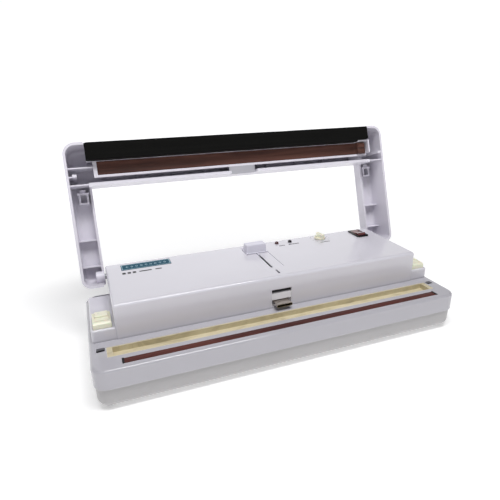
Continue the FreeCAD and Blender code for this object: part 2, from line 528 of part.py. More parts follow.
# ---------------------------------------------------------------- power rocker
rx, ry = ROCKER_XY
rw, rd = ROCKER_SIZE[0] / 2, ROCKER_SIZE[1] / 2
BEZEL_H = 1.6
BEZEL_RIM = 1.7
SWITCH_DEPTH = 20.0
ROCKER_AXIS_Z = PANEL_Z - 3.0
ROCKER_TIP_DEG = 8.0
bezel = plate(rx - rw, rx + rw, ry - rd, ry + rd, PANEL_Z, PANEL_Z + BEZEL_H, 1.0)
bezel = round_edges(bezel, 0.6, level(PANEL_Z + BEZEL_H))
bezel = bezel.fuse(box(rx - rw + 1.3, rx + rw - 1.3, ry - rd + 1.3, ry + rd - 1.3,
                       PANEL_Z - SWITCH_DEPTH, PANEL_Z + 0.5))
bezel = bezel.cut(box(rx - rw + BEZEL_RIM + 0.8, rx + rw - BEZEL_RIM - 0.8, ry - rd + BEZEL_RIM,
                      ry + rd - BEZEL_RIM, PANEL_Z - 12, PANEL_Z + 3))
bezel = bezel.cut(cyl(1.5 + RUN_GAP, (rx - rw + 1.8, ry, ROCKER_AXIS_Z), (1, 0, 0), 2 * rw - 3.6))
add("power_bezel", bezel.removeSplitter())

# drawn level, then tipped to its off side
half_x, half_y = rw - BEZEL_RIM - 1.1, rd - BEZEL_RIM - 0.8
side_x = rx - half_x
paddle = [V(side_x, ry - half_y, ROCKER_AXIS_Z + 0.5), V(side_x, ry - half_y + 0.3, PANEL_Z + 3.0),
          V(side_x, ry, PANEL_Z + 1.9), V(side_x, ry + half_y - 0.3, PANEL_Z + 3.0),
          V(side_x, ry + half_y, ROCKER_AXIS_Z + 0.5), V(side_x, ry, ROCKER_AXIS_Z - 3)]
rocker = Part.Face(Part.makePolygon(paddle + [paddle[0]])).extrude(V(2 * half_x, 0, 0))
rocker = rocker.fuse(cyl(1.5, (rx - rw + 1.9, ry, ROCKER_AXIS_Z), (1, 0, 0), 2 * rw - 3.8))
rocker = rocker.removeSplitter()
rocker.rotate(V(rx, ry, ROCKER_AXIS_Z), V(1, 0, 0), -ROCKER_TIP_DEG)
add("power_rocker", rocker)
add("power_terminals", [box(rx - 0.4, rx + 0.4, ry + dy - 2.4, ry + dy + 2.4, PANEL_Z - SWITCH_DEPTH - 9,
                            PANEL_Z - SWITCH_DEPTH) for dy in (-7, 0, 7)])

# ---------------------------------------------------------------- badge
add("badge_plate", plate(*BADGE, PANEL_Z - 0.5, PANEL_Z + 0.3, 0.6))

# ---------------------------------------------------------------- spring latches
LATCH_TOP_Z = 59.9
LATCH_STEP_Z = 58.2
LATCH_FOOT_Z = SHELF_Z - 0.4
LATCH_STEM_Z = 46.0
SPRING_R = 3.0
lx0, lx1 = LATCH_X
ly0, ly1 = LATCH_Y
# wide front part with a sloped top, and a narrower, higher part behind it
front = [V(lx0, ly0, LATCH_FOOT_Z), V(lx0, ly0, LATCH_STEP_Z - 1.6), V(lx0, ly0 + 2.0, LATCH_STEP_Z - 0.3),
         V(lx0, LATCH_STEP_Y, LATCH_STEP_Z), V(lx0, ly1, LATCH_STEP_Z), V(lx0, ly1, LATCH_FOOT_Z)]
latch = Part.Face(Part.makePolygon(front + [front[0]])).extrude(V(lx1 - lx0, 0, 0))
latch = round_edges(latch, 0.6, lambda b: b.XLength < 0.01 and b.ZMax > LATCH_STEP_Z - 2)
rear = plate(lx0 + 2.2, lx1 - 2.6, LATCH_STEP_Y, ly1 - 0.8, LATCH_STEP_Z - 1, LATCH_TOP_Z, 1.0)
rear = round_edges(rear, 0.7, level(LATCH_TOP_Z))
grooves = [box(lx0 + 1.4, lx0 + 2.2, LATCH_STEP_Y - 3, ly1 - 1.6, LATCH_STEP_Z - 1.2, LATCH_STEP_Z + 1),
           box(lx1 - 2.6, lx1 - 1.8, LATCH_STEP_Y - 3, ly1 - 1.6, LATCH_STEP_Z - 1.2, LATCH_STEP_Z + 1),
           box(lx0 + 2.0, lx1 - 2.0, ly0 + 4.6, ly0 + 5.3, LATCH_STEP_Z - 0.9, LATCH_STEP_Z + 1)]
latch = latch.fuse(rear).cut(grooves)
latch = latch.cut(box(lx0 + 1.2, lx1 - 1.2, ly0 + 1.2, ly1 - 1.2, LATCH_FOOT_Z - 1, LATCH_STEP_Z - 2.4))
latch = latch.fuse(box(lx0 + LATCH_STEM_IN, lx1 - LATCH_STEM_IN, *LATCH_STEM_Y,
                       LATCH_STEM_Z, LATCH_STEP_Z - 1.5))
latch_right, latch_left = both_sides(latch.removeSplitter())
add("latch_right", latch_right)
add("latch_left", latch_left)


def coil(radius, wire_r, z0, height, turns, x, y):
    """Round wire spring, lofted through octagonal sections."""
    steps = 10 * turns
    sections = []
    for i in range(steps + 1):
        a = 2 * math.pi * turns * i / steps
        middle = V(x + radius * math.cos(a), y + radius * math.sin(a), z0 + height * i / steps)
        outward = V(math.cos(a), math.sin(a), 0)
        pitch = height / (2 * math.pi * turns)
        along = V(-radius * math.sin(a), radius * math.cos(a), pitch).normalize()
        across = along.cross(outward)
        eighths = [k * math.pi / 4 for k in range(8)]
        rim = [middle + outward * (wire_r * math.cos(e)) + across * (wire_r * math.sin(e)) for e in eighths]
        sections.append(Part.makePolygon(rim + [rim[0]]))
    return Part.makeLoft(sections, True, True)


spring_x, spring_y = (lx0 + lx1) / 2, sum(LATCH_STEM_Y) / 2
SPRING_WIRE_R = 0.35
right_spring = coil(SPRING_R, SPRING_WIRE_R, SPRING_FOOT_Z + SPRING_WIRE_R + 0.05,
                    LATCH_STEM_Z - SPRING_FOOT_Z - 2 * SPRING_WIRE_R - 0.1, 4, spring_x, spring_y)
add("latch_spring_right", right_spring)
add("latch_spring_left", right_spring.mirror(V(0, 0, 0), V(1, 0, 0)))


# ---------------------------------------------------------------- lid microswitches
sw_x0, sw_x1, sw_y0, sw_y1 = SWITCH_SLOT
PLUNGER_TOP_Z = 34.0
sw_x, sw_y = 186.0, (sw_y0 + sw_y1) / 2
switch = box(sw_x0 - 0.5, sw_x1, sw_y0 - 3, sw_y1 + 4, 18, 30)
switch = switch.cut(cyl(1.8 + 0.2, (sw_x, sw_y, 25), (0, 0, 1), 8))
add("lid_switches", both_sides(switch))
plunger = cyl(1.8, (sw_x, sw_y, 27.5), (0, 0, 1), PLUNGER_TOP_Z - 27.5)
plunger = round_edges(plunger, 0.5, level(PLUNGER_TOP_Z))
plunger_right, plunger_left = both_sides(plunger)
add("switch_plunger_right", plunger_right)
add("switch_plunger_left", plunger_left)

# ---------------------------------------------------------------- lid frame
FOAM_X = (-173.0, 173.3)
FOAM_S = (124.6, 143.0)
FOAM_PROUD = 2.5
FOAM_SEAT_T = -16.0
PAD_X = (-163.0, 172.3)
PAD_S = (110.0, 124.2)
PAD_FACE_T = -14.0
PAD_END_X = 158.5
PAD_END_T = -20.5
CHANNEL_RIM_T = -15.6
CHANNEL_WALL_S = (107.2, 109.6)
NOTCH_HALF_W = 16.3
SADDLE_T = (-15.5, -14.1)
HOOK_X = (175.6, 185.7)
HOOK_S = (81.0, 93.4)
HOOK_WALL = 1.8
HOOK_LEDGE = 2.2
ARM_RIBS_S = (12.5, 41.5)
TAB_X = (184.2, 188.4)
TAB_S = (107.6, 110.4)
TAB_TIP_T = -28.0
END_RIB_S = (117.6, 118.8)
FOAM_STRIP_T = 1.6
LOW_RIB_T = 3.6
CLIP_X = (157.6, 175.5)
CLIP_S = (124.7, 126.3)
CLIP_TIP_T = -23.4


def make_lid_shell():
    y_front, y_rear = HINGE_Y - LID_FRONT_S, HINGE_Y - LID_REAR_S
    z0, z1 = HINGE_Z + LID_RIM_T, HINGE_Z + LID_TOP_T
    outer = plate(-HALF_W, HALF_W, y_front, y_rear, z0, z1, [CORNER_R, CORNER_R, 10.0, 10.0])
    outer = round_edges(outer, 7.0, level(z1))
    middle = lid_box(-ARM_INNER_X, ARM_INNER_X, LID_REAR_S - 5, BAR_INNER_S, LID_RIM_T - 5, LID_TOP_T + 5)
    outer = outer.cut(middle)

    def inner_top_edge(b):
        return level(z1)(b) and abs(b.XMax) < ARM_INNER_X + 0.01 and abs(b.XMin) < ARM_INNER_X + 0.01

    outer = round_edges(outer, 1.2, inner_top_edge)

    inner = plate(-HALF_W + LID_WALL, HALF_W - LID_WALL, y_front + LID_WALL, y_rear - LID_WALL,
                  z0 - 5, z1 - WALL, [CORNER_R - LID_WALL, CORNER_R - LID_WALL, 7.2, 7.2])
    inner = round_edges(inner, 5.0, level(z1 - WALL))
    core = lid_box(-ARM_INNER_X - ARM_WALL, ARM_INNER_X + ARM_WALL, LID_REAR_S - 5,
                   BAR_INNER_S + BAR_WALL, LID_RIM_T - 6, LID_TOP_T + 6)
    inner = inner.cut(core)
    shell = outer.cut(inner)
    # the arms' inner walls are shallow, so that they pass over the shelves
    arm_rim = both_sides(lid_box(ARM_INNER_X - 1, ARM_INNER_X + ARM_WALL + 0.05, LID_REAR_S - 5,
                                 BAR_INNER_S - 1.0, LID_RIM_T - 6, ARM_RIM_T))
    shell = shell.cut(arm_rim)

    extra = []
    roof_t = LID_TOP_T - 2    # ribs and bosses run up into the roof
    for side in (1, -1):
        def at(x0, x1, *rest, side=side):
            a, b = sorted((side * x0, side * x1))
            return lid_box(a, b, *rest)
        boss = cyl(6.5, (side * ARM_INNER_X, HINGE_Y, HINGE_Z), (side, 0, 0), 9.0)
        extra.append(boss)
        extra.append(at(ARM_INNER_X + 1, 180, -3.0, 3.0, 4.0, roof_t))
        for s in ARM_RIBS_S:
            extra.append(at(ARM_INNER_X + 1, HALF_W - 1.5, s - 0.6, s + 0.6, -2.0, roof_t))
        # hook boss: a hollow frame with a proud ledge, and a narrower block above it
        hook = at(*HOOK_X, *HOOK_S, ARM_RIM_T, roof_t)
        hollow = at(HOOK_X[0] + HOOK_WALL, HOOK_X[1] - HOOK_WALL,
                    HOOK_S[0] + HOOK_WALL, HOOK_S[1] - HOOK_LEDGE, ARM_RIM_T - 1, 6)
        extra.append(hook.cut(hollow))
        extra.append(at(HOOK_X[0] - 1.0, HOOK_X[1] + 1.0, HOOK_S[1] - HOOK_LEDGE, HOOK_S[1],
                        ARM_RIM_T - 0.8, roof_t))
        extra.append(at(HOOK_X[0] + 2.4, HOOK_X[1] - 2.0, HOOK_S[1], HOOK_S[1] + 3.4,
                        ARM_RIM_T + 1.5, roof_t))
        # cross rib, front rib and switch tab at the corner
        extra.append(at(ARM_INNER_X, HALF_W - 1.5, BAR_INNER_S + 1, BAR_INNER_S + 2.2, LID_RIM_T + 1, roof_t))
        extra.append(at(*TAB_X, *TAB_S, TAB_TIP_T, roof_t))
        extra.append(at(TAB_X[1] - 1, HALF_W - 1.5, TAB_S[0] + 0.8, TAB_S[1] - 0.8, LID_RIM_T + 4, roof_t))
    # rib from the left end of the pad channel to the outer wall
    extra.append(lid_box(-HALF_W + 1.5, PAD_X[0] - 4.3, *END_RIB_S, -18, roof_t))
    # long wall and cross ribs that carry the foam strip, and low ribs under the roof of the pad channel
    foam_rib_x = [FOAM_X[0] + 0.7] + [40 * i for i in range(-4, 5)] + [FOAM_X[1] - 0.7]
    for x in foam_rib_x:
        extra.append(lid_box(x - 0.7, x + 0.7, FOAM_S[0], LID_FRONT_S - 1.5,
                             FOAM_SEAT_T + FOAM_STRIP_T, roof_t))
    for x in foam_rib_x[1:-1]:
        extra.append(lid_box(x - 0.7, x + 0.7, BAR_INNER_S + 1, FOAM_S[0] + 1, LOW_RIB_T, roof_t))
    extra.append(lid_box(FOAM_X[0], FOAM_X[1], FOAM_S[0], FOAM_S[0] + 1.4, FOAM_SEAT_T, roof_t))
    shell = shell.fuse([e.common(outer_envelope(outer, middle)) for e in extra])

    cuts = [lid_box(FOAM_X[0] - 0.3, FOAM_X[1] + 0.3, LID_FRONT_S - LID_WALL - 1, LID_FRONT_S + 1,
                    LID_RIM_T - 5, FOAM_SEAT_T)]
    cuts.append(lid_box(-NOTCH_HALF_W, NOTCH_HALF_W, BAR_INNER_S - 1, BAR_INNER_S + BAR_WALL + 0.5,
                        LID_RIM_T - 5, SADDLE_T[1]))
    cuts += both_sides(cyl(HINGE_PIN_R + RUN_GAP + 1.0, (ARM_INNER_X - 2, HINGE_Y, HINGE_Z), (1, 0, 0), 10.5))
    return shell.cut(cuts).removeSplitter()


def outer_envelope(outer, middle):
    """The lid's outside shape, stretched below the rim for the tabs that stand proud of it."""
    y_front, y_rear = HINGE_Y - LID_FRONT_S, HINGE_Y - LID_REAR_S
    below = plate(-HALF_W, HALF_W, y_front, y_rear, HINGE_Z + TAB_TIP_T, HINGE_Z + LID_RIM_T, CORNER_R)
    return outer.fuse(below).cut(middle)


lid_shell = make_lid_shell()
add("lid_shell", lid_shell, lid=True)

bushes = both_sides(ring(HINGE_PIN_R + RUN_GAP + 1.0, HINGE_PIN_R + RUN_GAP,
                         (ARM_INNER_X, HINGE_Y, HINGE_Z), (1, 0, 0), 8.0))
add("hinge_bushes", bushes, lid=True)

foam = lid_box(*FOAM_X, *FOAM_S, LID_RIM_T - FOAM_PROUD, FOAM_SEAT_T)
foam = foam.cut(lid_box(CLIP_X[0] - 0.3, FOAM_X[1] + 1, FOAM_S[0] - 1, CLIP_S[1] + 0.3,
                        LID_RIM_T - 5, FOAM_SEAT_T))
add("lid_foam", foam, lid=True)
add("foam_strip", lid_box(*FOAM_X, FOAM_S[0] + 1.45, LID_FRONT_S - LID_WALL - 0.05,
                          FOAM_SEAT_T, FOAM_SEAT_T + FOAM_STRIP_T), lid=True)

# channel that carries the brown pad: back plate, thin wall, end walls and nozzle saddle
cx0, cx1 = PAD_X[0] - 4.0, PAD_X[1] + 1.6
channel = fuse([
    lid_box(cx0, cx1, CHANNEL_WALL_S[0], PAD_S[1] + 0.1, PAD_FACE_T + 1.5, PAD_FACE_T + 3.1),
    lid_box(cx0, cx1, *CHANNEL_WALL_S, CHANNEL_RIM_T, PAD_FACE_T + 3.1),
    lid_box(cx0, PAD_X[0], CHANNEL_WALL_S[0], PAD_S[1] + 0.1, CHANNEL_RIM_T, PAD_FACE_T + 3.1),
    lid_box(PAD_X[1], cx1, CHANNEL_WALL_S[0], PAD_S[1] + 0.1, CHANNEL_RIM_T, PAD_FACE_T + 3.1),
    lid_box(cx1 - 0.1, CLIP_X[1], PAD_S[0], CLIP_S[1], CLIP_TIP_T, PAD_FACE_T + 3.1),
    lid_box(*CLIP_X, *CLIP_S, CLIP_TIP_T, FOAM_SEAT_T - 1),
])
CHANNEL_SCREW_X = (-140.0, -50.0, 50.0, 140.0)
channel_screw_y = HINGE_Y - 116.0
channel_back_t = PAD_FACE_T + 3.1
channel_post_length = LID_TOP_T - WALL - channel_back_t
posts = [cyl(3.0, (x, channel_screw_y, HINGE_Z + channel_back_t), (0, 0, 1), channel_post_length)
         for x in CHANNEL_SCREW_X]
channel = channel.cut([cyl(1.1, (x, channel_screw_y, HINGE_Z + PAD_FACE_T), (0, 0, 1), 8)
                       for x in CHANNEL_SCREW_X])
add("pad_channel", channel, lid=True)
posts = [p.cut(cyl(0.9, (x, channel_screw_y, HINGE_Z + channel_back_t - 1), (0, 0, 1), 9))
         for p, x in zip(posts, CHANNEL_SCREW_X)]
add("channel_spacers", posts, lid=True)
add("channel_screws", [screw(x, channel_screw_y, HINGE_Z + PAD_FACE_T + 1.5, True, 0.9, 1.8, 0.4, 8.0)
                       for x in CHANNEL_SCREW_X], lid=True)

pad = lid_box(*PAD_X, CHANNEL_WALL_S[1], PAD_S[1], PAD_FACE_T, PAD_FACE_T + 1.5)
pad = fuse([pad, lid_box(PAD_END_X, PAD_X[1], CHANNEL_WALL_S[1], PAD_S[1], PAD_END_T, PAD_FACE_T + 1.5)])
pad = pad.cut([cyl(2.4, (x, channel_screw_y, HINGE_Z + PAD_FACE_T + 0.9), (0, 0, 1), 3)
               for x in CHANNEL_SCREW_X])
add("brown_pad", pad, lid=True)

saddle = lid_box(-NOTCH_HALF_W + 0.2, NOTCH_HALF_W - 0.2, BAR_INNER_S + 0.3, CHANNEL_WALL_S[0],
                 *SADDLE_T)
add("nozzle_saddle", saddle, lid=True)

for node, shape in NODES.items():
    shape.exportStep("parts/" + node + ".step")
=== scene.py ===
"""Looks for the countertop nozzle vacuum sealer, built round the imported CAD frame. Metres, row frame."""
import bpy
import bmesh
import json
import math
from mathutils import Matrix, Vector, noise


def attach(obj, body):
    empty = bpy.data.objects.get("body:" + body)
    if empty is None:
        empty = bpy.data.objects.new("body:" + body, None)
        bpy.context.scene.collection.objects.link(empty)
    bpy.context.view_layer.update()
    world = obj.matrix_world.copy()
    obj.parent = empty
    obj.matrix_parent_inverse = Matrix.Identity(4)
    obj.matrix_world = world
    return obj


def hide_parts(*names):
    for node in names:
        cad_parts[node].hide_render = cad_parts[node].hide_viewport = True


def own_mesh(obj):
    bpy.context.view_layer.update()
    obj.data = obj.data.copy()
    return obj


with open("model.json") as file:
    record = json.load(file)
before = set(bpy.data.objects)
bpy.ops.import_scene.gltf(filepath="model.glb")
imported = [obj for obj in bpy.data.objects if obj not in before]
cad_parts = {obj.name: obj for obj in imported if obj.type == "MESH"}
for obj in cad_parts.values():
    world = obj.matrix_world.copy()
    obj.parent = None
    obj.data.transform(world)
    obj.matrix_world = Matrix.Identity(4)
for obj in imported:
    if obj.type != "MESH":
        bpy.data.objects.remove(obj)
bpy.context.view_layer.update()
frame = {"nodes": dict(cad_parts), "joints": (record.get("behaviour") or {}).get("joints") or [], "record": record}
nodes = frame["nodes"]
MM = 0.001

# ------------------------------------------------------------------ materials
COLOUR_A, COLOUR_B, COLOUR_OUT = 6, 7, 2      # the Mix node's colour sockets, by number


class Nodes:
    """A short way to write a node tree. In a keyword, an underscore stands for a space."""

    def __init__(self, tree):
        self.tree = tree

    def link(self, a, b):
        self.tree.links.new(a, b)

    def add(self, kind, **inputs):
        node = self.tree.nodes.new("ShaderNode" + kind)
        for key, value in inputs.items():
            node.inputs[key.replace("_", " ")].default_value = value
        return node

    def separate(self, vector):
        node = self.add("SeparateXYZ")
        self.link(vector, node.inputs[0])
        return node.outputs

    def map_range(self, value, **limits):
        node = self.add("MapRange", **limits)
        self.link(value, node.inputs["Value"])
        return node.outputs[0]


class Graph(Nodes):
    """A material: each method adds one step and returns its output socket."""

    def __init__(self, name):
        self.mat = bpy.data.materials.new(name)
        self.mat.use_nodes = True
        super().__init__(self.mat.node_tree)
        self.tree.nodes.clear()
        self.out = self.add("OutputMaterial")
        self.bsdf = self.add("BsdfPrincipled")
        self.link(self.bsdf.outputs[0], self.out.inputs["Surface"])
        self.coords = self.add("TexCoord").outputs["Object"]

    def noise(self, scale, detail=3.0, rough=0.55, stretch=(1, 1, 1), distortion=0.0):
        mapping = self.add("Mapping", Scale=stretch)
        self.link(self.coords, mapping.inputs["Vector"])
        tex = self.add("TexNoise", Scale=scale, Detail=detail, Roughness=rough, Distortion=distortion)
        self.link(mapping.outputs[0], tex.inputs["Vector"])
        return tex.outputs["Fac"]

    def voronoi(self, scale):
        tex = self.add("TexVoronoi", Scale=scale)
        self.link(self.coords, tex.inputs["Vector"])
        return tex.outputs["Distance"]

    def wave(self, scale, axis):
        tex = self.add("TexWave", Scale=scale)
        tex.bands_direction = axis
        self.link(self.coords, tex.inputs["Vector"])
        return tex.outputs["Fac"]

    def ramp(self, fac, stops):
        node = self.add("ValToRGB")
        elements = node.color_ramp.elements
        while len(elements) < len(stops):
            elements.new(0.5)
        for element, (place, colour) in zip(elements, stops):
            element.position = place
            element.color = (*colour, 1.0)
        self.link(fac, node.inputs["Fac"])
        return node.outputs["Color"]

    def grey(self, fac, low, high, start=0.3, end=0.7):
        return self.ramp(fac, [(start, (low,) * 3), (end, (high,) * 3)])

    def multiply(self, a, b):
        node = self.add("Math")
        node.operation = "MULTIPLY"
        self.link(a, node.inputs[0])
        self.link(b, node.inputs[1])
        return node.outputs[0]

    def mix(self, fac, a, b):
        node = self.add("Mix")
        node.data_type = "RGBA"
        self.link(fac, node.inputs["Factor"])
        for value, socket in ((a, node.inputs[COLOUR_A]), (b, node.inputs[COLOUR_B])):
            if isinstance(value, tuple):
                socket.default_value = (*value, 1.0)
            else:
                self.link(value, socket)
        return node.outputs[COLOUR_OUT]

    def bump(self, height, strength, distance, after=None):
        node = self.add("Bump", Strength=strength, Distance=distance)
        self.link(height, node.inputs["Height"])
        if after is not None:
            self.link(after, node.inputs["Normal"])
        return node.outputs["Normal"]

    # painted highlight: the lighter convex edges are partly wear and partly a painted highlight along fillets and
    # rims
    def edges_worn_and_highlit(self, radius=0.5 * MM):
        """White along convex edges, from the difference between the true and the rounded normal."""
        bevel = self.add("Bevel", Radius=radius)
        bevel.samples = 4
        geometry = self.add("NewGeometry")
        dot = self.add("VectorMath")
        dot.operation = "DOT_PRODUCT"
        self.link(bevel.outputs[0], dot.inputs[0])
        self.link(geometry.outputs["Normal"], dot.inputs[1])
        return self.grey(dot.outputs["Value"], 1.0, 0.0, 0.80, 0.985)

    def finish(self, colour, roughness, normal=None, **constants):
        self.link(colour, self.bsdf.inputs["Base Color"])
        self.link(roughness, self.bsdf.inputs["Roughness"])
        if normal is not None:
            self.link(normal, self.bsdf.inputs["Normal"])
        for key, value in constants.items():
            self.bsdf.inputs[key.replace("_", " ")].default_value = value
        return self.mat


def srgb(r, g, b):
    def channel(c):
        c /= 255
        return c / 12.92 if c <= 0.04045 else ((c + 0.055) / 1.055) ** 2.4
    return (channel(r), channel(g), channel(b))


def shade(colour, k):
    return tuple(min(1.0, c * k) for c in colour)


PAINTED_SHADE_BLEND = 0.8 * MM
DECK_PAINTED_SHADE_Z = 44.2 * MM       # painted shade: the upper moulding is painted darker below its deck, standing for the shade on its upright sides
GUIDE_PAINTED_SHADE_Z = 60.1 * MM      # painted shade: the nozzle guide is painted near-black above this height, over its cut slot and the solid plate above it, so its window reads as a dark opening


def moulded(name, rgb, rough=(0.20, 0.32), grain=0.02, edge=1.06, subsurface=0.0, coat=0.0,
            painted_shade_band=None, edge_radius=0.5 * MM):
    """Injection-moulded plastic: faint flow mottling, orange peel, dust-fine grain and lighter edges.

    painted_shade_band is (height in metres, factor on the colour below it, factor above it); it paints shade into
    the colour on one side of that height.
    """
    g = Graph(name)
    base = srgb(*rgb)
    flow = g.noise(9.0, 3.0, 0.5)
    body = g.ramp(flow, [(0.25, shade(base, 0.965)), (0.5, base), (0.8, shade(base, 1.025))])
    # painted shade: the colour is scaled by one factor below the height and by another above it
    if painted_shade_band:
        height, below, above = painted_shade_band
        painted_shade_mask = g.map_range(g.separate(g.coords)["Z"],
                           From_Min=height - PAINTED_SHADE_BLEND, From_Max=height + PAINTED_SHADE_BLEND)
        body = g.mix(painted_shade_mask, shade(base, below), body if above == 1.0 else shade(base, above))
    # lighter edges, partly wear and partly a painted highlight
    colour = g.mix(g.edges_worn_and_highlit(edge_radius), body, shade(base, edge)) if edge else body
    peel = g.noise(260.0, 2.0, 0.5)
    fine = g.noise(2600.0, 2.0, 0.6)
    normal = g.bump(peel, 0.02, 0.2 * MM)
    normal = g.bump(fine, grain, 0.04 * MM, normal)
    smear = g.noise(35.0, 5.0, 0.65, (1, 0.5, 1))
    return g.finish(colour, g.grey(smear, *rough), normal, IOR=1.52, Coat_Weight=coat,
                    Coat_Roughness=0.08, Subsurface_Weight=subsurface, Subsurface_Scale=1.5 * MM)


def metal(name, rgb, rough=(0.22, 0.4), stretch=(1, 18, 1), bump=0.12):
    """Drawn or plated metal: fine lines along one way, cloudy roughness, brighter edges."""
    g = Graph(name)
    base = srgb(*rgb)
    lines = g.noise(700.0, 3.0, 0.7, stretch)
    cloud = g.noise(60.0, 4.0, 0.6)
    body = g.ramp(cloud, [(0.3, shade(base, 0.82)), (0.7, shade(base, 1.08))])
    colour = g.mix(g.edges_worn_and_highlit(0.3 * MM), body, shade(base, 1.2))
    normal = g.bump(lines, bump, 0.05 * MM)
    return g.finish(colour, g.grey(g.multiply(lines, cloud), *rough, 0.1, 0.45), normal, Metallic=1.0)


def rubber(name, rgb, rough=(0.62, 0.85)):
    """Matte rubber: powdery bloom, fine pits and slightly paler edges."""
    g = Graph(name)
    base = srgb(*rgb)
    bloom = g.noise(90.0, 5.0, 0.7)
    body = g.ramp(bloom, [(0.3, shade(base, 0.8)), (0.75, shade(base, 1.35))])
    colour = g.mix(g.edges_worn_and_highlit(), body, shade(base, 1.7))
    pits = g.noise(1500.0, 2.0, 0.6)
    return g.finish(colour, g.grey(bloom, *rough), g.bump(pits, 0.3, 0.08 * MM), IOR=1.5)


MATERIALS = {
    # painted shade: the housing is painted darker below its deck; its raised edge factor and radius make lighter
    # edges that are partly wear and partly a painted highlight along the fillets
    "white_housing": moulded("housing_gloss_abs", (219, 217, 225), (0.10, 0.17), coat=0.4, edge=1.16,
                             edge_radius=0.8 * MM, painted_shade_band=(DECK_PAINTED_SHADE_Z, 0.73, 1.0)),
    # painted shade: the tray's grey is set darker than the housing plastic, standing for the shade on its low,
    # upright sides
    "white_tray": moulded("tray_satin_abs", (188, 186, 187), (0.30, 0.42)),
    # painted highlight: the lid's raised edge factor and radius lighten its rims, partly a painted highlight
    "white_lid": moulded("lid_gloss_abs", (221, 218, 227), (0.26, 0.34), edge=1.18, edge_radius=0.8 * MM),
    "light_grey_plastic": moulded("grey_acetal", (172, 171, 178), (0.35, 0.5)),
    "handle_plastic": moulded("handle_satin_abs", (222, 220, 232), (0.28, 0.4), grain=0.08),
    "ivory_plastic": moulded("ivory_acetal", (242, 240, 218), (0.25, 0.38), subsurface=0.08),
    "dark_plastic": moulded("dark_phenolic", (22, 19, 20), (0.4, 0.6)),
    "bakelite": moulded("brown_phenolic", (92, 58, 44), (0.45, 0.6)),
    "black_plastic": moulded("black_gloss_nylon", (16, 16, 18), (0.18, 0.3), edge=1.6),
    "circuit_board": moulded("solder_mask_green", (28, 92, 46), (0.3, 0.5)),
    "winding_tape": moulded("yellow_winding_tape", (216, 180, 56), (0.3, 0.45)),
    "silicone_hose": moulded("silicone_tube", (214, 208, 196), (0.3, 0.45), subsurface=0.2),
    "steel": metal("zinc_plated_steel", (176, 178, 182)),
    "nickel": metal("nickel_plate", (205, 198, 190), (0.16, 0.3)),
    "nichrome": metal("nichrome_ribbon", (120, 112, 106), stretch=(18, 1, 1)),
    "brass": metal("turned_brass", (200, 164, 92)),
    "lamination": metal("varnished_laminations", (92, 90, 90), (0.45, 0.6), (30, 1, 1), 0.4),
    "black_rubber": rubber("black_rubber", (26, 26, 27)),
}


def translucent_lens(name, rgb, transmission):
    """Tinted clear plastic with faint moulding swirls."""
    g = Graph(name)
    base = srgb(*rgb)
    swirl = g.noise(180.0, 3.0, 0.6, distortion=1.2)
    colour = g.ramp(swirl, [(0.3, shade(base, 0.7)), (0.7, shade(base, 1.25))])
    return g.finish(colour, g.grey(swirl, 0.06, 0.16), g.bump(swirl, 0.04, 0.1 * MM), IOR=1.49,
                    Transmission_Weight=transmission, Coat_Weight=0.4, Coat_Roughness=0.05)


MATERIALS["red_rocker"] = translucent_lens("rocker_dark_red", (104, 10, 18), 0.15)
MATERIALS["red_lens"] = translucent_lens("lamp_dark_red", (92, 14, 22), 0.35)
MATERIALS["dark_lens"] = translucent_lens("lamp_smoked", (34, 24, 34), 0.3)


def beige_liner():
    """Old-ivory trough liner: blotchy, a little greyer and darker where bags have rubbed it."""
    g = Graph("trough_beige")
    blotch = g.noise(46.0, 5.0, 0.7, (0.5, 1.6, 1), 0.6)
    colour = g.ramp(blotch, [(0.28, srgb(176, 165, 136)), (0.5, srgb(214, 203, 172)),
                             (0.75, srgb(230, 222, 196))])
    fine = g.noise(900.0, 3.0, 0.6)
    colour = g.mix(g.edges_worn_and_highlit(0.4 * MM), colour, srgb(226, 220, 200))
    return g.finish(colour, g.grey(blotch, 0.4, 0.62), g.bump(fine, 0.25, 0.08 * MM), IOR=1.5)


def woven_cover():
    """Brown non-stick glass cloth over the heating strip: fine weave and heat marks along its middle."""
    g = Graph("heater_glass_cloth")
    heat = g.noise(30.0, 4.0, 0.6, (0.35, 2.0, 1), 0.5)
    colour = g.ramp(heat, [(0.3, srgb(68, 34, 31)), (0.55, srgb(92, 47, 41)), (0.8, srgb(110, 61, 52))])
    warp = g.wave(1100.0, "X")
    weft = g.wave(1100.0, "Y")
    weave = g.multiply(warp, weft)
    shaded = g.mix(g.grey(weave, 0.0, 0.35, 0.1, 0.9), colour, srgb(46, 22, 20))
    return g.finish(shaded, g.grey(heat, 0.4, 0.56), g.bump(weave, 0.35, 0.06 * MM),
                    Specular_IOR_Level=0.3)


def silicone_pad():
    """Brown silicone pad: long faint streaks from the extruder, dusty bloom."""
    g = Graph("brown_silicone")
    streak = g.noise(70.0, 5.0, 0.65, (0.12, 2.2, 2.2), 0.3)
    colour = g.ramp(streak, [(0.28, srgb(62, 40, 35)), (0.55, srgb(92, 59, 50)), (0.8, srgb(114, 77, 66))])
    fine = g.noise(1200.0, 2.0, 0.6)
    return g.finish(colour, g.grey(streak, 0.5, 0.72), g.bump(fine, 0.25, 0.08 * MM),
                    Specular_IOR_Level=0.3)


